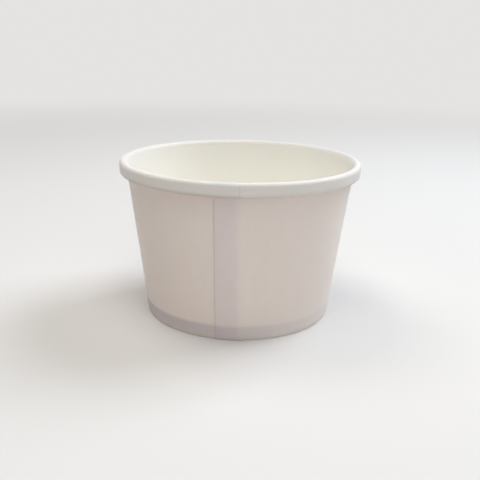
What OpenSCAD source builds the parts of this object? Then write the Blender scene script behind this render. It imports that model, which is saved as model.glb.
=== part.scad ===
// Paper deli container: a round cup of white board, open at the top.
// One blank is wrapped to a cone, lapped at the side seam, rolled over at the rim and folded under at the foot.
// A second blank is the floor, whose turned-down skirt is sealed inside the fold of the foot.
// Millimetres. The origin is on the axis at the table, +Z points up and the side seam faces -Y.

/* [Overall size] */
// Outside diameter of the rolled rim
rim_d = 96; // [94:0.5:104]
// Outside diameter of the wall at the table
base_d = 75; // [70:0.5:78]
// Height from the table to the top of the rim
height = 62.5; // [56:0.5:90]

/* [Board] */
// Thickness of the sidewall board
board = 0.4; // [0.3:0.01:0.5]
// Thickness of the floor board
floor_board = 0.35; // [0.25:0.01:0.5]

/* [Rolled rim] */
// Width of the roll across its top
roll_w = 2.9; // [2.4:0.1:3.2]
// Height of the roll, pressed to a tall oval
roll_h = 5.4; // [5:0.1:7]
// Length of board that runs up inside the roll beyond its lower bend
roll_tuck = 1.6; // [0.5:0.1:2]
// Gap between the tucked end and the wall
roll_gap = 0.1; // [0.05:0.01:0.2]

/* [Side seam] */
// Width of the lap
lap_w = 8.3; // [6:0.1:12]
// Depth that the heat seal presses the outer end into the inner end
lap_press = 0.05; // [0.02:0.01:0.1]
// Width over which the outer end comes down beside the lap
lap_ramp = 5.4; // [4.5:0.1:7]
// Distance of the inner end's cut edge from the seam's middle where the roll turns it to the outside
rim_edge = 5; // [4:0.1:6]
// Height of that cut edge above the rim beside it
rim_step = 0.2; // [0.1:0.01:0.25]
// Angle over which that step dies away round the rim
rim_step_angle = 18; // [12:1:30]

/* [Foot and floor] */
// Height of the folded-up hem above the table
hem_h = 6.1; // [4:0.1:9]
// Gap between the hem's upper edge and the bend of the floor
hem_gap = 0.1; // [0.05:0.05:0.5]
// Thickness of each glue line at the foot
seal = 0.02; // [0.01:0.01:0.05]
// Inside radius of the fold under the foot
fold_r = 0.05; // [0.02:0.01:0.08]
// Gap between the skirt's lower edge and the fold
skirt_gap = 0.15; // [0.1:0.05:0.5]
// Inside radius of the bend between floor and skirt
skirt_r = 0.35; // [0.2:0.05:0.6]

/* [Hidden] */
$fn = 180;
// Largest turn between two stations of a bend
bend_step = 12;
// Small depth by which joined surfaces pass each other
sliver = 0.02;

rim_r = rim_d / 2;
base_r = base_d / 2;

// Upper bend of the roll: its outside radius and its centre
top_r = roll_w / 2;
top_c = [rim_r - top_r, height - top_r];

// Slope of the wall, whose outside runs from the foot to touch the inside of the upper bend
foot_to_top = [top_c.x - base_r, top_c.y];
wall_a = atan2(foot_to_top.x, foot_to_top.y) - asin((top_r - board) / norm(foot_to_top));

// Lower bend of the roll: its outside radius fits between the rim's outside and the wall
roll_room = (rim_r - base_r) * cos(wall_a) - (height - roll_h) * sin(wall_a) - roll_gap;
low_r = roll_room / (1 + cos(wall_a) + sin(wall_a));
low_z = height - roll_h + low_r;

// Fold under the foot: three boards thick, with a flat between two bends
fold_out_r = fold_r + board;
foot_t = 2 * board + floor_board + 2 * seal;
fold_flat = (foot_t - 2 * fold_out_r) / cos(wall_a);

// Bend radii and straight runs along the middle of the sidewall board
fold_mid_r = fold_out_r - board / 2;
top_mid_r = top_r - board / 2;
low_mid_r = low_r - board / 2;
hem_run = (hem_h - fold_out_r) / cos(wall_a) - fold_mid_r * tan(wall_a);
wall_run = (top_c.y - fold_out_r) / cos(wall_a) + (top_mid_r + fold_mid_r) * tan(wall_a);
side_run = top_c.y - low_z;

// Floor: centre of its bend, height of its middle and length of its skirt
skirt_mid_r = skirt_r + floor_board / 2;
skirt_in = board + seal + floor_board / 2;
bend_z = hem_h + hem_gap;
floor_z = bend_z + skirt_mid_r;
bend_x = wall_x(skirt_in + skirt_mid_r, bend_z);
skirt_run = (bend_z - board - skirt_gap) / cos(wall_a) - skirt_mid_r * tan(wall_a);
floor_top = floor_z + floor_board / 2;

// Side seam: rise of the outer end over the inner end, and the lap's edges across the wall
lap_rise = board - lap_press;
lap_edge = lap_w / 2;
ramp_edge = lap_edge + lap_ramp;

// Rim: the outer half of the roll is turned about a centre set off towards the inner end's cut edge,
// on a smaller radius, so that it stands proud there and dies away over the angle of the step
step_rise = rim_step - sliver;
step_shift = step_rise / (1 - cos(rim_step_angle));
step_less = step_shift - step_rise;
step_at = asin(rim_edge / rim_r) - 90;
step_depth = (board + rim_step) / 2;

// Radius on the axis plane at a height, this far in from the outside of the wall
function wall_x(inset, z) = base_r + z * tan(wall_a) - inset / cos(wall_a);

// Depth by which the round wall falls away at a distance across the seam, at a height
function wall_sag(across, z) = across * across * cos(wall_a) / (2 * wall_x(0, z));

// A board is followed along its middle as stations of [x, z, heading].
// A run is [length, 0, 0] where the board is straight and [0, turn, radius] where it is bent.
function straight(s, length) = [s.x + length * cos(s.z), s.y + length * sin(s.z), s.z];
function bent(s, turn, radius) =
    let (side = sign(turn) * radius, to = s.z + turn)
    [s.x + side * (sin(to) - sin(s.z)), s.y - side * (cos(to) - cos(s.z)), to];
function after(s, run) = run.y == 0 ? straight(s, run.x) : bent(s, run.y, run.z);
function along(s, run) =
    let (steps = max(1, ceil(abs(run.y) / bend_step)))
    [for (i = [1 : steps]) run.y == 0 ? straight(s, run.x) : bent(s, run.y * i / steps, run.z)];
function followed(s, runs, i = 0) =
    i == len(runs) ? [] : concat(along(s, runs[i]), followed(after(s, runs[i]), runs, i + 1));

// Outline of a board between two offsets to the left of its stations
function offset_left(s, d) = [s.x - d * sin(s.z), s.y + d * cos(s.z)];
function board_outline(stations, low, high) =
    let (last = len(stations) - 1)
    concat(
        [for (s = stations) offset_left(s, low)],
        [for (i = [last : -1 : 0]) offset_left(stations[i], high)]
    );

// Stations of the sidewall, from the hem's upper edge round the foot, up the wall and round the roll
hem_inset = foot_t - board / 2;
hem_start = [wall_x(hem_inset, hem_h), hem_h, 270 - wall_a];
sidewall_runs = [
    [hem_run, 0, 0],
    [0, 90 + wall_a, fold_mid_r],
    [fold_flat, 0, 0],
    [0, 90 - wall_a, fold_mid_r],
    [wall_run, 0, 0],
    [0, wall_a - 90, top_mid_r],
    [0, -90, top_mid_r],
    [side_run, 0, 0],
    [0, -90, low_mid_r],
    [0, -90 - wall_a, low_mid_r],
    [roll_tuck, 0, 0]
];
sidewall_stations = concat([hem_start], followed(hem_start, sidewall_runs));

// Stations of the floor, from the axis over its bend to the skirt's lower edge
floor_start = [0, floor_z, 0];
floor_runs = [
    [bend_x, 0, 0],
    [0, -90 - wall_a, skirt_mid_r],
    [skirt_run, 0, 0]
];
floor_stations = concat([floor_start], followed(floor_start, floor_runs));

// Stations of the outer half of the roll, from its crown to its lowest point
crown = [top_c.x, height - board / 2, 0];
roll_runs = [
    [0, -90, top_mid_r],
    [side_run, 0, 0],
    [0, -90, low_mid_r]
];
roll_stations = concat([crown], followed(crown, roll_runs));

module turned(outline, angle = 360) {
    rotate_extrude(angle = angle) polygon(outline);
}

// Stands children on the wall's outside at the seam: x runs across it, -y points out and z runs up the wall
module on_seam() {
    translate([0, -base_r, 0]) rotate([wall_a, 0, 0]) children();
}

// Outer end of the blank where it lies on the inner end, with straight edges a lap's width apart
module lap_layer() {
    intersection() {
        turned([
            [wall_x(board / 2, fold_out_r), fold_out_r],
            [wall_x(-lap_rise, fold_out_r), fold_out_r],
            [wall_x(-lap_rise, low_z), low_z],
            [wall_x(board / 2, low_z), low_z]
        ]);
        translate([-lap_edge, -rim_r, 0]) cube([lap_w, rim_r, height]);
    }
}

// Outer end where it comes down off the inner end's edge: the flat from ridge to tip
ridge = [lap_edge, wall_sag(lap_edge, height / 2) - lap_rise + sliver];
tip = [ramp_edge, wall_sag(ramp_edge, 0) + sliver];

module lap_slope() {
    start = fold_out_r / cos(wall_a);
    end = low_z / cos(wall_a);
    on_seam()
        translate([0, 0, start])
        linear_extrude(end - start)
        polygon([ridge, tip, [lap_edge, ridge.y + lap_rise + board / 2], [lap_edge / 2, ridge.y + lap_rise / 2]]);
}

// Hollow that the same flat leaves on the inside, from the inner end's cut edge
module lap_hollow() {
    start = (floor_top + board) / cos(wall_a);
    end = (top_c.y - board) / cos(wall_a);
    under = [0, board];
    deep = [0, 3 * board];
    on_seam()
        translate([0, 0, start])
        linear_extrude(end - start)
        polygon([ridge + under, tip + under, tip + deep, [ridge.x, tip.y] + deep]);
}

// Cut edge of the inner end on the outside of the roll
module rim_lap() {
    outline = board_outline(roll_stations, board / 2 - step_depth, board / 2 + sliver);
    rotate([0, 0, step_at])
        translate([step_shift, 0, 0])
        rotate([0, 0, -rim_step_angle])
        turned([for (p = outline) [p.x - step_less, p.y]], rim_step_angle);
}

module sidewall() {
    color("#e9e1d6")
    difference() {
        union() {
            turned(board_outline(sidewall_stations, -board / 2, board / 2));
            lap_layer();
            lap_slope();
            rim_lap();
        }
        lap_hollow();
    }
}

module bottom_disc() {
    color("#ece6da")
    turned(board_outline(floor_stations, -floor_board / 2, floor_board / 2));
}

sidewall();
bottom_disc();
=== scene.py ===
import math

import bmesh
import bpy
from mathutils import Matrix, Vector


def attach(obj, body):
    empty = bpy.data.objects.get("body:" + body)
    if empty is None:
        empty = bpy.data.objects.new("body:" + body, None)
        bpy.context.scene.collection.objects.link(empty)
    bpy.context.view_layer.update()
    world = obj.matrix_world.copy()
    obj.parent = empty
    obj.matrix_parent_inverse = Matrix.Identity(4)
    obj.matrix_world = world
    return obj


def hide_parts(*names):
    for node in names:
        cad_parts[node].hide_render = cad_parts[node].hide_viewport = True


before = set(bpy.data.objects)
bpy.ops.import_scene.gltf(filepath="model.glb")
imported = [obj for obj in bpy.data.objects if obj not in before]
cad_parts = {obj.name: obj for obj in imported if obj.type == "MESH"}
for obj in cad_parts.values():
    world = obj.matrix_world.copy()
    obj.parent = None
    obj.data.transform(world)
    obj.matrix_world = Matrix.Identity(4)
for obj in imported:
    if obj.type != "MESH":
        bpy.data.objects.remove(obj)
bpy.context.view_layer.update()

MM = 0.001
QUARTER = math.pi / 2
FULL_TURN = 2 * math.pi

# Sizes of the part, in metres
RIM_R = 48 * MM
BASE_R = 37.5 * MM
HEIGHT = 62.5 * MM
BOARD = 0.4 * MM
FLOOR_BOARD = 0.35 * MM
ROLL_W = 2.9 * MM
ROLL_H = 5.4 * MM
ROLL_TUCK = 1.6 * MM
ROLL_GAP = 0.1 * MM
LAP_EDGE = 4.15 * MM
RIM_EDGE = 5.0 * MM
HEM_H = 6.1 * MM
HEM_GAP = 0.1 * MM
SEAL = 0.02 * MM
FOLD_R = 0.05 * MM
SKIRT_GAP = 0.15 * MM
SKIRT_R = 0.35 * MM

# Slope of the wall and the bends of the roll, as in the part's source
TOP_R = ROLL_W / 2
TOP_X = RIM_R - TOP_R
TOP_Z = HEIGHT - TOP_R
WALL_A = (math.atan2(TOP_X - BASE_R, TOP_Z)
          - math.asin((TOP_R - BOARD) / math.hypot(TOP_X - BASE_R, TOP_Z)))
ROLL_ROOM = (RIM_R - BASE_R) * math.cos(WALL_A) - (HEIGHT - ROLL_H) * math.sin(WALL_A) - ROLL_GAP
LOW_R = ROLL_ROOM / (1 + math.cos(WALL_A) + math.sin(WALL_A))
LOW_Z = HEIGHT - ROLL_H + LOW_R

# Fold of the foot, and the straight runs and bend radii along the middle of the board
FOLD_OUT_R = FOLD_R + BOARD
FOOT_T = 2 * BOARD + FLOOR_BOARD + 2 * SEAL
FOLD_FLAT = (FOOT_T - 2 * FOLD_OUT_R) / math.cos(WALL_A)
FOLD_MID_R = FOLD_OUT_R - BOARD / 2
TOP_MID_R = TOP_R - BOARD / 2
LOW_MID_R = LOW_R - BOARD / 2
HEM_RUN = (HEM_H - FOLD_OUT_R) / math.cos(WALL_A) - FOLD_MID_R * math.tan(WALL_A)
WALL_RUN = (TOP_Z - FOLD_OUT_R) / math.cos(WALL_A) + (TOP_MID_R + FOLD_MID_R) * math.tan(WALL_A)
SIDE_RUN = TOP_Z - LOW_Z

# Floor: the centre of its bend and the length of its skirt
SKIRT_MID_R = SKIRT_R + FLOOR_BOARD / 2
BEND_Z = HEM_H + HEM_GAP
FLOOR_Z = BEND_Z + SKIRT_MID_R
SKIRT_RUN = (BEND_Z - BOARD - SKIRT_GAP) / math.cos(WALL_A) - SKIRT_MID_R * math.tan(WALL_A)

# Meshes: columns round the sidewall's blank and in each lapped end, steps round the floor, reach of a weld
COLUMNS = 372
LAP_COLUMNS = 12
FLOOR_STEPS = 180
WELD = 0.005 * MM

# Lap: distance between the middles of the two ends on the wall, the crown, the roll and its lower bend
LAP_CLEAR = 0.41 * MM
CROWN_CLEAR = 0.08 * MM
ROLL_CLEAR = 0.22 * MM
LOW_ROLL_CLEAR = 0.08 * MM

# Lap: shift of the inner end towards the food side, from low on the wall up to the roll and its tucked end
INNER_LOW = 0.01 * MM
INNER_WALL = 0.055 * MM
INNER_CROWN = 0.015 * MM
INNER_ROLL = 0.17 * MM
INNER_TUCK = -0.27 * MM

# Lap: width of the slope down off the inner end, angle that the shift dies out over, play at the cut edge
RAMP_W = 5.8 * MM
SETTLE_A = math.radians(18)
EDGE_PLAY = 0.03 * MM

# Notch of the inner end at the fold: how far it goes up the hem and up the wall
NOTCH_HEM = 1.0 * MM
NOTCH_WALL = 0.8 * MM

# Height above the fold that a shift begins to lift the board over, so that the foot stays flat
FOOT_EASE = 2 * MM

# Swell of the wall over the hem
SWELL = 0.18 * MM
SWELL_Z = 3.2 * MM
SWELL_HALF = 6.0 * MM

# Waves of the wall: their height, how they set in above the foot and die out below the rim, and their parts
WAVE = 0.045 * MM
WAVE_Z = 9 * MM
WAVE_RISE = 12 * MM
WAVE_FALL = 10 * MM
WAVES = [
    {"count": 3, "lean": 0.0, "start": 0.6, "share": 1.0},
    {"count": 7, "lean": -1 / (18.75 * MM), "start": 1.9, "share": 0.6},
    {"count": 11, "lean": 1 / (18 * MM), "start": 0.0, "share": 0.5},
]

# Knurl of the hem, and the width that it fades over at both edges of the hem
KNURLS = 87
KNURL_DEPTH = 0.07 * MM
KNURL_FADE = 1.2 * MM

# Dish of the floor, the share of its radius that it sets in over, and its unevenness
DISH = 0.15 * MM
DISH_EASE = 0.35
DISH_UNEVEN = 0.2
DISH_START = 0.7

# Softened cut edges
CUT_ROUND = 0.05 * MM
CUT_ANGLE = math.radians(55)

# Grain of the finishes, in cells per metre, and the depth of their relief
CLOUDS = 330
STREAKS = 760
STREAK_STRETCH = (1, 1, 0.035)
TOOTH = 5200
TOOTH_DEPTH = 0.02 * MM
PEEL = 1150
PEEL_DEPTH = 0.03 * MM
FIBRES = 6500
FIBRE_DEPTH = 0.04 * MM

# Light through the board: how deep it goes, and in which colours
GLOW_DEPTH = 0.22 * MM
GLOW_COLOURS = (1.0, 0.92, 0.84)

# Colours of the boards and their cut edges, and of the studio
FOOD_SIDE = (0.962, 0.928, 0.86)
# Outer side: the same off-white board as the food side, made darker and warmer as painted shade
OUTER_SIDE_SHADED = (0.86, 0.81, 0.77)
# Floor's top: the food side's board, made greyer as painted shade so that its brightly lit top stays short
# of white
FLOOR_TOP_SHADED = (0.77, 0.752, 0.712)
UNDER_SIDE = (0.84, 0.81, 0.76)
CUT_EDGE = (0.74, 0.68, 0.60)
PAPER_SHOWN = (0.725, 0.717, 0.706)
PAPER_BOUNCED = (0.70, 0.665, 0.64)
BACKDROP = (0.78, 0.77, 0.755)

# Outer side of the wall: bands along the lap, as distances from one of its edges: painted shade over the
# lap, a painted shadow line at the cut edge and a faint trace
LAP_CUT = (-0.1 * MM, 0.1 * MM)
LAP_FADE = (-1.2 * MM, 0.8 * MM)
# painted shadow: a thin dark line on the wall at the foot of the lap's step
LINE_RISE = (-0.4 * MM, -0.28 * MM)
LINE_FALL = (0.0, 0.06 * MM)
TRACE_RISE = (-1.9 * MM, -1.7 * MM)
TRACE_FALL = (-1.7 * MM, -1.4 * MM)

# Outer side of the wall: the hem's band of painted shade, where less light comes through its three layers,
# paler towards the foot and towards the right
HEM_FADE = (-0.9 * MM, 0.6 * MM)
HEM_FOOT = 5.2 * MM
HEM_FOOT_SHARE = 0.42
HEM_ACROSS = (-38 * MM, 36 * MM)
HEM_RIGHT_SHARE = 0.1

# Food side: where the wall's colour gives way to the roll's painted shade, beyond the wall and up the crown
ROLL_OFF = (0.06 * MM, 0.12 * MM)
ROLL_TOP = (0.45 * MM, 1.15 * MM)

# Food side: painted shade over the crown's band by height and by radius, and over the roll's lower bend by
# height and across
CROWN_RISE = (0.5 * MM, 1.2 * MM)
CROWN_FADE = (-0.2 * MM, 0.9 * MM)
CROWN_SIDE_SHARE = 0.25
LOW_ROLL_FADE = (0.0, 1.9 * MM)
LOW_ROLL_ACROSS = (-12 * MM, 16 * MM)
LOW_ROLL_RIGHT_SHARE = 0.5

# Food side: painted shadow hairline, painted highlight patch and painted shade crease beside the cut edge on
# the roll; the first two end at the crown
RIM_LINE_RISE = (-0.06 * MM, 0.0)
RIM_LINE_FALL = (0.1 * MM, 0.2 * MM)
PATCH_RISE = (0.0, 0.1 * MM)
PATCH_FADE = (3 * MM, 7 * MM)
CREASE_Z = 60.25 * MM
CREASE_RISE = (-0.25 * MM, 0.0)
CREASE_FALL = (0.0, 0.3 * MM)
MARKS_END = (0.0, 0.5 * MM)

# Tints of the bands, as factors of the board's colour; all but the trace are painted shade, painted shadow
# or painted highlight
LAP_SHADE_TINT = (0.965, 0.945, 0.975)
HEM_SHADE_TINT = (0.73, 0.71, 0.785)
TRACE_TINT = (0.975, 0.975, 0.98)
LINE_SHADOW_TINT = (0.83, 0.82, 0.84)
ROLL_SHADE_TINT = (0.845, 0.858, 0.888)
CROWN_SHADE_TINT = (0.895, 0.898, 0.912)
LOW_ROLL_SHADE_TINT = (0.70, 0.68, 0.68)
PATCH_LIGHT_TINT = (1.045, 1.02, 1.03)
CREASE_SHADE_TINT = (0.90, 0.885, 0.855)
RIM_LINE_SHADOW_TINT = (0.84, 0.83, 0.83)

# Studio, in metres: the floor's flat, sweep and upright edge, where the backdrop takes over, and the light
STUDIO_R = 1.1
SWEEP_R = 0.7
STUDIO_EDGE = 0.6
STUDIO_STEPS = 72
BACKDROP_REACH = (0.22, 0.9)
AIR_STRENGTH = 0.12
LAMP_AIM = (0, 0, 35 * MM)


def wall_x(inset, z):
    """Radius at a height, this far in from the outside of the wall."""
    return BASE_R + z * math.tan(WALL_A) - inset / math.cos(WALL_A)


def eased(value):
    """Smooth rise from 0 to 1 as the value goes from 0 to 1."""
    u = min(1.0, max(0.0, value))
    return u * u * (3 - 2 * u)


def along_profile(s, knots):
    """Value at a place along the board, eased from each knot to the next."""
    for (s0, low), (s1, high) in zip(knots, knots[1:]):
        if s < s1:
            return low + (high - low) * eased((s - s0) / (s1 - s0))
    return knots[-1][1]


def board_wire(bm, start, heading, runs):
    """Follows a board along its middle in the XZ plane and keeps each point's length along it.

    A run is (length, 0, 0, steps) where the board is straight and (0, turn, radius, steps) where it is bent.
    """
    along = bm.verts.layers.float.new("along")
    tip = bm.verts.new(start)
    marks = [0.0]
    for length, turn, radius, steps in runs:
        ahead = Vector((math.cos(heading), 0, math.sin(heading)))
        left = Vector((-ahead.z, 0, ahead.x))
        step_length = (length + abs(turn) * radius) / steps
        for _ in range(steps):
            if turn == 0:
                grown = bmesh.ops.extrude_vert_indiv(bm, verts=[tip])["verts"]
                bmesh.ops.translate(bm, verts=grown, vec=ahead * step_length)
            else:
                centre = tip.co + left * math.copysign(radius, turn)
                last = bmesh.ops.spin(bm, geom=[tip], cent=centre, axis=(0, -1, 0),
                                      angle=turn / steps, steps=1)["geom_last"]
                grown = [e for e in last if isinstance(e, bmesh.types.BMVert)]
                left = Matrix.Rotation(turn / steps, 3, (0, -1, 0)) @ left
            grown[0][along] = tip[along] + step_length
            tip = grown[0]
        heading += turn
        marks.append(marks[-1] + length + abs(turn) * radius)
    return along, marks


def turned_round(bm, steps):
    """Turns a section round the axis and closes it there."""
    bmesh.ops.spin(bm, geom=bm.verts[:] + bm.edges[:], cent=(0, 0, 0), axis=(0, 0, 1),
                   angle=FULL_TURN, steps=steps, use_merge=True)
    bmesh.ops.remove_doubles(bm, verts=bm.verts, dist=WELD)
    bmesh.ops.recalc_face_normals(bm, faces=bm.faces)


def in_scene(name, data):
    """Object of a mesh, a lamp or a camera, put in the scene."""
    made = bpy.data.objects.new(name, data)
    bpy.context.scene.collection.objects.link(made)
    return made


def smooth_piece(name, bm, finishes):
    """Object of a smoothly shaded mesh, with its finishes."""
    for face in bm.faces:
        face.smooth = True
    mesh = bpy.data.meshes.new(name)
    bm.to_mesh(mesh)
    bm.free()
    for finish in finishes:
        mesh.materials.append(finish)
    return in_scene(name, mesh)


def board_piece(name, bm, board, finishes, node):
    """Makes a sheet of board from its middle surface, in place of a CAD node.

    The finishes are those of the side that the surface faces, of its other side and of the cut edges.
    """
    piece = smooth_piece(name, bm, finishes)
    thick = piece.modifiers.new("board", "SOLIDIFY")
    thick.thickness = board
    thick.offset = 0
    thick.use_even_offset = True
    thick.use_quality_normals = True
    thick.material_offset = 1
    thick.material_offset_rim = 2
    soft_edge = piece.modifiers.new("cut_edges", "BEVEL")
    soft_edge.width = CUT_ROUND
    soft_edge.segments = 2
    soft_edge.profile = 0.5
    soft_edge.limit_method = "ANGLE"
    soft_edge.angle_limit = CUT_ANGLE
    soft_edge.harden_normals = True
    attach(piece, "root")
    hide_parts(node)


def sidewall_sheet(finishes):
    """The wrapped blank: lapped at the seam, rolled at the rim, folded at the foot."""
    bm = bmesh.new()
    hem_inset = FOOT_T - BOARD / 2
    start = (wall_x(hem_inset, HEM_H), 0, HEM_H)
    runs = [
        (HEM_RUN, 0, 0, 8),
        (0, QUARTER + WALL_A, FOLD_MID_R, 8),
        (FOLD_FLAT, 0, 0, 1),
        (0, QUARTER - WALL_A, FOLD_MID_R, 7),
        (WALL_RUN, 0, 0, 44),
        (0, WALL_A - QUARTER, TOP_MID_R, 9),
        (0, -QUARTER, TOP_MID_R, 9),
        (SIDE_RUN, 0, 0, 6),
        (0, -QUARTER, LOW_MID_R, 8),
        (0, -QUARTER - WALL_A, LOW_MID_R, 8),
        (ROLL_TUCK, 0, 0, 3),
    ]
    along, marks = board_wire(bm, start, 3 * QUARTER - WALL_A, runs)
    wall_start, wall_end, crown, side_start, side_end, low_middle, low_end = marks[4:11]
    side_middle = (side_start + side_end) / 2

    # The blank is fanned out over half a turn, so that each point's angle tells its column
    bmesh.ops.spin(bm, geom=bm.verts[:] + bm.edges[:], cent=(0, 0, 0), axis=(0, 0, -1),
                   angle=math.pi, steps=COLUMNS)
    bmesh.ops.recalc_face_normals(bm, faces=bm.faces)
    bm.normal_update()

    def column_of(point):
        """Column of the blank that a point of the fan stands in."""
        return round(abs(math.atan2(point.y, point.x)) / math.pi * COLUMNS)

    # The inner end is notched at the fold, where the outer end alone goes round
    notched = []
    for face in bm.faces:
        s = sum(v[along] for v in face.verts) / len(face.verts)
        in_lap = max(column_of(v.co) for v in face.verts) <= LAP_COLUMNS
        if in_lap and HEM_RUN - NOTCH_HEM < s < wall_start + NOTCH_WALL:
            notched.append(face)
    bmesh.ops.delete(bm, geom=notched, context="FACES")

    # Shift of the inner end, half the width of the lap and distance between the ends, along the board
    inner_end = [
        (wall_start, 0.0),
        (wall_start + 8 * MM, INNER_LOW),
        (wall_start + 14 * MM, INNER_WALL),
        (wall_end - 5 * MM, INNER_WALL),
        (crown, INNER_CROWN),
        (side_middle, INNER_ROLL),
        (low_middle, INNER_ROLL),
        (low_end, INNER_TUCK),
    ]
    lap_edges = [
        (wall_end, LAP_EDGE),
        (side_start, RIM_EDGE),
    ]
    apart = [
        (wall_end - 2 * MM, LAP_CLEAR),
        (crown - 0.8 * MM, CROWN_CLEAR),
        (crown + 0.4 * MM, CROWN_CLEAR),
        (side_middle, ROLL_CLEAR),
        (low_middle - 0.7 * MM, LOW_ROLL_CLEAR),
    ]

    def angle_of(column, edge, radius):
        """Angle round the container, from the inner end's cut edge over the blank to the outer end's."""
        if column <= LAP_COLUMNS:
            return edge - 2 * edge * column / LAP_COLUMNS
        if column < COLUMNS - LAP_COLUMNS:
            around = (column - LAP_COLUMNS) / (COLUMNS - 2 * LAP_COLUMNS)
            return -edge - (FULL_TURN - 2 * edge) * around
        last = edge - EDGE_PLAY / radius
        lapped = (column - COLUMNS + LAP_COLUMNS) / LAP_COLUMNS
        return edge - (edge + last) * lapped - FULL_TURN

    def lap_shift(column, angle, edge, radius, s):
        """Shift towards the outside of the board that the lap gives, by place round the blank."""
        inner = along_profile(s, inner_end)
        clear = along_profile(s, apart)
        if column >= COLUMNS - LAP_COLUMNS:
            settled = 1 - ((edge - angle - FULL_TURN) / SETTLE_A) ** 2
            return clear - inner * max(0.0, settled)
        settled = 1 - ((edge - angle) / SETTLE_A) ** 2
        shift = -inner * max(0.0, settled)
        over = (angle + FULL_TURN - edge) * radius / RAMP_W
        if over < 1:
            shift += (clear - inner) * (1 - eased(over))
        return shift

    def small_forms(column, angle, s, z):
        """Shift towards the outside of the board of the hem's knurl, or of the wall's swell and waves."""
        if s < HEM_RUN and column > LAP_COLUMNS:
            press = eased(s / KNURL_FADE) * eased((HEM_RUN - s) / KNURL_FADE)
            turn = FULL_TURN * KNURLS * column / (COLUMNS - 2 * LAP_COLUMNS)
            return KNURL_DEPTH * press * (0.5 - 0.5 * math.cos(turn))
        if wall_start < s < wall_end:
            swell = SWELL * (1 - eased(abs(z - SWELL_Z) / SWELL_HALF)) * eased(z / SWELL_Z)
            held = eased((z - WAVE_Z) / WAVE_RISE) * eased((wall_end - s) / WAVE_FALL)
            wave = 0.0
            for part in WAVES:
                wave += part["share"] * math.sin(part["count"] * angle + part["lean"] * z + part["start"])
            return swell + WAVE * held * wave
        return 0.0

    for vert in bm.verts:
        column = column_of(vert.co)
        radius = math.hypot(vert.co.x, vert.co.y)
        fan = math.pi * column / COLUMNS
        outward = vert.normal.y * math.sin(fan) - vert.normal.x * math.cos(fan)
        upward = -vert.normal.z
        s = vert[along]
        z = vert.co.z
        edge = math.asin(along_profile(s, lap_edges) / radius)
        angle = angle_of(column, edge, radius)
        shift = lap_shift(column, angle, edge, radius, s) + small_forms(column, angle, s, z)
        radius += shift * outward
        z += shift * upward * eased((z - FOLD_OUT_R) / FOOT_EASE)
        vert.co = (radius * math.sin(angle), -radius * math.cos(angle), z)
    board_piece("sidewall_sheet", bm, BOARD, finishes, "sidewall")


def floor_sheet(finishes):
    """The round floor with its edge turned down as a skirt between the wall and the hem."""
    bm = bmesh.new()
    bend_x = wall_x(BOARD + SEAL + FLOOR_BOARD / 2 + SKIRT_MID_R, BEND_Z)
    runs = [
        (bend_x, 0, 0, 16),
        (0, -QUARTER - WALL_A, SKIRT_MID_R, 9),
        (SKIRT_RUN, 0, 0, 6),
    ]
    board_wire(bm, (0, 0, FLOOR_Z), 0, runs)
    turned_round(bm, FLOOR_STEPS)
    for vert in bm.verts:
        out = vert.co.xy.length / bend_x
        angle = math.atan2(vert.co.y, vert.co.x)
        slack = eased((1 - out) / DISH_EASE)
        uneven = DISH_UNEVEN * math.sin(2 * angle + DISH_START) * out
        vert.co.z -= DISH * slack * (1 - DISH_UNEVEN + uneven)
    board_piece("floor_sheet", bm, FLOOR_BOARD, finishes, "bottom_disc")


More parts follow.
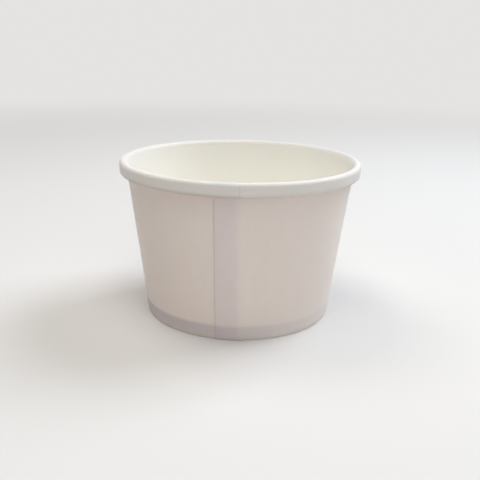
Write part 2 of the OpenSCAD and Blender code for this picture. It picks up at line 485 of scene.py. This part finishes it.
class Finish:
    """Node tree of one finish, read from Object coordinates in metres."""

    def __init__(self, name):
        self.material = bpy.data.materials.new(name)
        self.material.use_nodes = True
        self.tree = self.material.node_tree
        self.shader = self.tree.nodes["Principled BSDF"]
        self.place = self.node("ShaderNodeTexCoord").outputs["Object"]

    def node(self, kind, inputs=(), **settings):
        """New node with its settings, and with its inputs fed from sockets or plain values."""
        made = self.tree.nodes.new(kind)
        for key, value in settings.items():
            setattr(made, key, value)
        for key, value in dict(inputs).items():
            self.feed(made.inputs[key], value)
        return made

    def feed(self, socket, value):
        """Links a socket to another one, or sets its plain value."""
        if isinstance(value, bpy.types.NodeSocket):
            self.tree.links.new(value, socket)
        else:
            socket.default_value = value

    def feed_shader(self, inputs):
        """Feeds the shader's inputs, by name."""
        for key, value in inputs.items():
            self.feed(self.shader.inputs[key], value)

    def noise(self, scale, detail=2.0, roughness=0.5, stretch=(1, 1, 1)):
        """Soft noise between 0 and 1, its grain set by the scale per metre."""
        mapped = self.node("ShaderNodeMapping", {"Vector": self.place, "Scale": stretch}).outputs["Vector"]
        made = self.node("ShaderNodeTexNoise", {
            "Vector": mapped, "Scale": scale, "Detail": detail, "Roughness": roughness})
        return made.outputs["Fac"]

    def bump(self, height, depth, strength, under=None):
        """Normal of a fine relief, on top of another one where it is given."""
        inputs = {"Height": height, "Strength": strength, "Distance": depth}
        if under is not None:
            inputs["Normal"] = under
        return self.node("ShaderNodeBump", inputs).outputs["Normal"]

    def ranged(self, value, low, high, to_low, to_high, soft=False):
        """Value brought from one range to another and held at its ends, eased where it is soft."""
        kind = "SMOOTHSTEP" if soft else "LINEAR"
        return self.node("ShaderNodeMapRange", {
            "Value": value, "From Min": low, "From Max": high, "To Min": to_low, "To Max": to_high,
        }, interpolation_type=kind).outputs["Result"]

    def rise(self, value, edge, reach, soft=False):
        """Share from 0 to 1 over a reach, which is a pair of distances from an edge."""
        return self.ranged(value, edge + reach[0], edge + reach[1], 0.0, 1.0, soft)

    def fall(self, value, edge, reach, rest=0.0, soft=False):
        """Share from 1 down to the rest over a reach, which is a pair of distances from an edge."""
        return self.ranged(value, edge + reach[0], edge + reach[1], 1.0, rest, soft)

    def math(self, operation, a, b=0.0):
        """Sum, product or the like of two values."""
        return self.node("ShaderNodeMath", {0: a, 1: b}, operation=operation).outputs["Value"]

    def product(self, first, *others):
        """Product of all the shares."""
        for other in others:
            first = self.math("MULTIPLY", first, other)
        return first

    def mixed(self, factor, a, b, blend="MIX"):
        """Colour between two others, or one blended over the other."""
        made = self.node("ShaderNodeMix", {"Factor": factor, 6: a, 7: b}, data_type="RGBA", blend_type=blend)
        return made.outputs[2]

    def places(self):
        """The three Object coordinates as values."""
        return self.node("ShaderNodeSeparateXYZ", {"Vector": self.place}).outputs

    def length(self, vector):
        """Length of a vector."""
        return self.node("ShaderNodeVectorMath", {0: vector}, operation="LENGTH").outputs["Value"]


def rgba(colour, by=1.0):
    """Opaque colour of a shader socket, brightened by a factor."""
    return tuple(c * by for c in colour) + (1.0,)


def board_finish(name, colour, rough, mottle, streak, seam_bands=None):
    """Coated board: cloudy formation, long faint streaks, a fine tooth and a little light through it."""
    f = Finish(name)
    cloud = f.noise(CLOUDS, detail=3.0, roughness=0.6)
    grain = f.noise(STREAKS, stretch=STREAK_STRETCH)
    tooth = f.noise(TOOTH, roughness=0.6)
    peel = f.noise(PEEL, detail=1.0)
    shade = f.mixed(cloud, rgba(colour, 1 - mottle), rgba(colour, 1 + mottle))
    level = f.ranged(grain, 0.3, 0.7, 1 - streak, 1 + streak)
    grey = f.node("ShaderNodeCombineColor", {"Red": level, "Green": level, "Blue": level}).outputs["Color"]
    shade = f.mixed(1.0, shade, grey, "MULTIPLY")
    # the bands multiply the board's colour: painted shade, painted shadow and painted highlight, and a faint
    # trace of the press
    if seam_bands:
        for share, tint in seam_bands(f):
            shade = f.mixed(share, shade, f.mixed(1.0, shade, rgba(tint), "MULTIPLY"))
    fine = f.bump(tooth, TOOTH_DEPTH, strength=0.25)
    f.feed_shader({
        "Base Color": shade,
        "Roughness": f.ranged(cloud, 0.25, 0.75, rough - 0.05, rough + 0.06),
        "Normal": f.bump(peel, PEEL_DEPTH, strength=0.3, under=fine),
        "Specular IOR Level": 0.25,
        "Subsurface Weight": 1.0,
        "Subsurface Radius": GLOW_COLOURS,
        "Subsurface Scale": GLOW_DEPTH,
    })
    return f.material


def outside_bands(f):
    """Shares and tints of painted shade over the lap and the hem, a faint trace of the press and a painted
    shadow line at the cut edge.
    """
    x, y, z = f.places()
    front = f.math("LESS_THAN", y, 0.0)
    # painted shade: the lap's two layers, where less light comes through the board
    lap = f.product(f.rise(x, -LAP_EDGE, LAP_CUT), f.fall(x, LAP_EDGE, LAP_FADE, soft=True))
    # painted shade: the hem's three layers, paler towards the foot and towards the right
    hem = f.product(f.fall(z, HEM_H, HEM_FADE, soft=True),
                    f.ranged(z, 0.0, HEM_FOOT, HEM_FOOT_SHARE, 1.0, True),
                    f.fall(x, 0.0, HEM_ACROSS, HEM_RIGHT_SHARE))
    # painted shadow at the foot of the lap's step
    line = f.product(f.rise(x, -LAP_EDGE, LINE_RISE), f.fall(x, -LAP_EDGE, LINE_FALL))
    trace = f.product(f.rise(x, -LAP_EDGE, TRACE_RISE, True), f.fall(x, -LAP_EDGE, TRACE_FALL, soft=True))
    return [
        (f.product(lap, front), LAP_SHADE_TINT),
        (hem, HEM_SHADE_TINT),
        (f.product(trace, front), TRACE_TINT),
        (f.product(line, front), LINE_SHADOW_TINT),
    ]


def inside_bands(f):
    """Shares and tints of painted shade over the roll, its crown and lower bend, and of a painted highlight,
    a painted shade crease and a painted shadow line beside its cut edge.
    """
    x, y, z = f.places()
    flat = f.node("ShaderNodeVectorMath", {0: f.place, 1: (1, 1, 0)}, operation="MULTIPLY").outputs["Vector"]
    out = f.length(flat)
    beyond_wall = f.math("SUBTRACT", out, f.ranged(z, 0.0, HEIGHT, BASE_R, wall_x(0, HEIGHT)))
    # painted shade: the roll is the same board as the wall inside, made darker to tone down its lit crown
    # and face
    roll = f.math("MAXIMUM", f.rise(beyond_wall, 0.0, ROLL_OFF), f.rise(z, TOP_Z, ROLL_TOP, True))
    front = f.product(f.math("LESS_THAN", y, 0.0), roll)
    # painted shade: the crown's band made darker to tone down its highlight
    crown = f.product(f.rise(z, TOP_Z, CROWN_RISE, True),
                      f.fall(out, TOP_X, CROWN_FADE, CROWN_SIDE_SHARE, True))
    # painted shade under the roll's lower bend, darker towards its foot and less so towards the right
    low_roll_shade = f.product(roll, f.fall(z, HEIGHT - ROLL_H, LOW_ROLL_FADE, soft=True),
                         f.fall(x, 0.0, LOW_ROLL_ACROSS, LOW_ROLL_RIGHT_SHARE, True))
    below_crown = f.fall(z, TOP_Z, MARKS_END, soft=True)
    beside = f.product(f.rise(x, RIM_EDGE, PATCH_RISE), f.fall(x, RIM_EDGE, PATCH_FADE, soft=True))
    # painted highlight: a lighter patch beside the cut edge, where the roll's face tilts up to the light
    patch = f.product(beside, below_crown)
    # painted shade: a thin dark crease across the patch
    crease = f.product(f.rise(z, CREASE_Z, CREASE_RISE, True),
                       f.fall(z, CREASE_Z, CREASE_FALL, soft=True), beside)
    # painted shadow: a thin dark line beside the inner end's cut edge, at the foot of its step on the roll
    line = f.product(f.rise(x, RIM_EDGE, RIM_LINE_RISE), f.fall(x, RIM_EDGE, RIM_LINE_FALL), below_crown)
    return [
        (roll, ROLL_SHADE_TINT),
        (crown, CROWN_SHADE_TINT),
        (low_roll_shade, LOW_ROLL_SHADE_TINT),
        (f.product(patch, front), PATCH_LIGHT_TINT),
        (f.product(crease, front), CREASE_SHADE_TINT),
        (f.product(line, front), RIM_LINE_SHADOW_TINT),
    ]


def cut_finish(name, colour):
    """Raw cut edge: open fibres in thin layers."""
    f = Finish(name)
    fibre = f.noise(FIBRES, detail=3.0, roughness=0.7)
    f.feed_shader({
        "Base Color": f.mixed(fibre, rgba(colour, 0.86), rgba(colour, 1.08)),
        "Roughness": f.ranged(fibre, 0.2, 0.8, 0.7, 0.9),
        "Normal": f.bump(fibre, FIBRE_DEPTH, strength=0.5),
        "Specular IOR Level": 0.2,
    })
    return f.material


def studio_paper():
    """Plain paper: the colour it shows, the one it lights the object by, and the backdrop's further out."""
    f = Finish("studio_paper")
    rays = f.node("ShaderNodeLightPath").outputs
    mirrored = f.math("MAXIMUM", rays["Is Glossy Ray"], rays["Is Transmission Ray"])
    seen = f.math("MAXIMUM", rays["Is Camera Ray"], mirrored)
    f.feed_shader({
        "Base Color": f.mixed(seen, rgba(PAPER_BOUNCED), rgba(PAPER_SHOWN)),
        "Roughness": 0.9,
        "Specular IOR Level": 0.1,
    })
    haze = f.node("ShaderNodeEmission", {"Color": rgba(BACKDROP), "Strength": 1.0}).outputs["Emission"]
    share = f.product(seen, f.rise(f.length(f.place), 0.0, BACKDROP_REACH, True))
    surface = f.node("ShaderNodeMixShader", {0: share, 1: f.shader.outputs["BSDF"], 2: haze})
    f.feed(f.tree.nodes["Material Output"].inputs["Surface"], surface.outputs["Shader"])
    return f.material


def studio_floor(finish):
    """Pale round floor that sweeps up on all sides."""
    bm = bmesh.new()
    runs = [
        (STUDIO_R, 0, 0, 12),
        (0, QUARTER, SWEEP_R, 12),
        (STUDIO_EDGE, 0, 0, 2),
    ]
    board_wire(bm, (0, 0, 0), 0, runs)
    turned_round(bm, STUDIO_STEPS)
    bmesh.ops.reverse_faces(bm, faces=bm.faces)
    floor = smooth_piece("studio_floor", bm, [finish])


def lamp(name, place, width, power, colour):
    """Soft square lamp, aimed at the object."""
    light = bpy.data.lights.new(name, "AREA")
    light.shape = "SQUARE"
    light.size = width
    light.energy = power
    light.color = colour
    holder = in_scene(name, light)
    holder.location = place
    holder.rotation_euler = (Vector(LAMP_AIM) - Vector(place)).to_track_quat("-Z", "Y").to_euler()


def studio_light():
    """Even air, warm lamps from above and from the left, cool ones from the right and from the front."""
    world = bpy.data.worlds.new("studio_air")
    world.use_nodes = True
    air = world.node_tree.nodes["Background"]
    air.inputs["Color"].default_value = (1.0, 1.0, 1.0, 1.0)
    air.inputs["Strength"].default_value = AIR_STRENGTH
    bpy.context.scene.world = world
    lamp("top_lamp", place=(0, -0.3, 0.95), width=0.6, power=3.82, colour=(1.0, 0.954, 0.893))
    lamp("left_lamp", place=(-0.38, 0.2, 0.9), width=0.5, power=2.98, colour=(1.0, 0.964, 0.898))
    lamp("right_lamp", place=(0.5, 0.38, 0.75), width=0.5, power=6.28, colour=(0.849, 0.913, 1.0))
    lamp("front_lamp", place=(0.35, -0.7, 0.6), width=0.6, power=1.5, colour=(0.91, 0.955, 1.0))


def photo_camera():
    """Camera at the photograph's viewing angle."""
    turn = math.radians(6.05)
    away = 277.264 * MM
    high = 112.985 * MM
    pitch = math.radians(17.0346)
    yaw = math.radians(0.0942) - turn
    roll = math.radians(1.1442)
    forward = Vector((math.sin(yaw) * math.cos(pitch), math.cos(yaw) * math.cos(pitch), -math.sin(pitch)))
    side = forward.cross(Vector((0, 0, 1))).normalized()
    up = side.cross(forward)
    right = side * math.cos(roll) + up * math.sin(roll)
    top = up * math.cos(roll) - side * math.sin(roll)
    data = bpy.data.cameras.new("photo_camera")
    data.sensor_width = 36
    data.lens = 52.256
    data.clip_start = 0.01
    holder = in_scene("photo_camera", data)
    place = Matrix.Translation((away * math.sin(turn), -away * math.cos(turn), high))
    holder.matrix_world = place @ Matrix((right, top, -forward)).transposed().to_4x4()
    bpy.context.scene.camera = holder


bpy.context.scene.view_settings.view_transform = "Standard"
photo_camera()

food_side = board_finish("food_side_board", FOOD_SIDE, rough=0.5, mottle=0.012, streak=0.003,
                         seam_bands=inside_bands)
outer_side = board_finish("outer_side_shaded_board", OUTER_SIDE_SHADED, rough=0.5, mottle=0.015, streak=0.006,
                          seam_bands=outside_bands)
floor_top = board_finish("floor_top_shaded_board", FLOOR_TOP_SHADED, rough=0.5, mottle=0.012, streak=0.003)
under_side = board_finish("under_side_board", UNDER_SIDE, rough=0.55, mottle=0.02, streak=0.008)
cut_edge = cut_finish("cut_edge_board", CUT_EDGE)

sidewall_sheet([food_side, outer_side, cut_edge])
floor_sheet([floor_top, under_side, cut_edge])
studio_floor(studio_paper())
studio_light()
